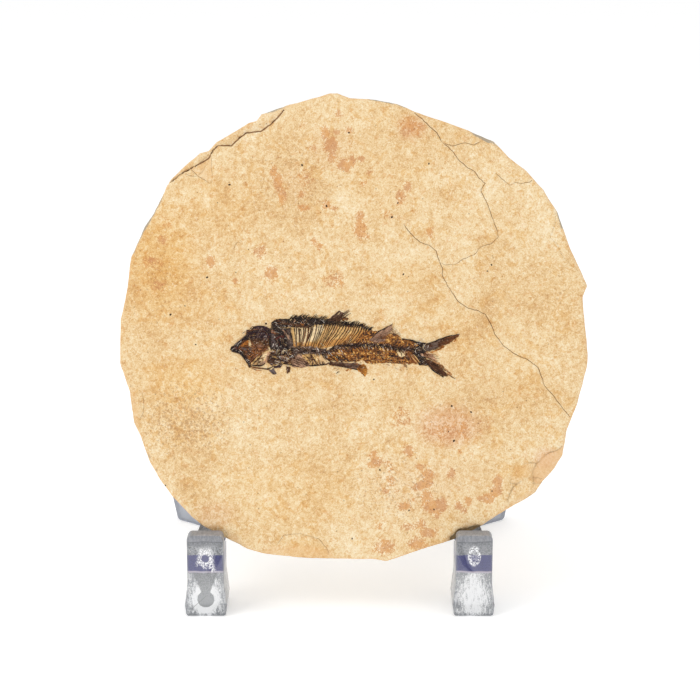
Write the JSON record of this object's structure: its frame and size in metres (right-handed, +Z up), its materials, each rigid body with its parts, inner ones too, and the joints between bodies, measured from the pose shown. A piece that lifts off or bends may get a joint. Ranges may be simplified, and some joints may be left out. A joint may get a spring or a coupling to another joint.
{
  "type": "fossil fish slab",
  "caption": "Round hand-trimmed slab of cream limestone with a small fossil fish in low relief, leaning on a crossed clear plastic display stand.",
  "frame": {"origin": "middle of the footprint, on the surface that the stand's feet rest on", "axes": "+X to the right as seen from the front, +Y towards the back, +Z up; the fish's side of the slab faces -Y and leans back"},
  "size_m": [0.1498, 0.1014, 0.1587],
  "materials": {
    "limestone": "matt, split along the bedding",
    "fossil_bone": "satin",
    "clear_plastic": "clear, polished"
  },
  "bodies": {
    "root": {"slab": "limestone", "fossil_fish": "fossil_bone", "left_stand_arm": "clear_plastic", "right_stand_arm": "clear_plastic"}
  },
  "joints": []
}
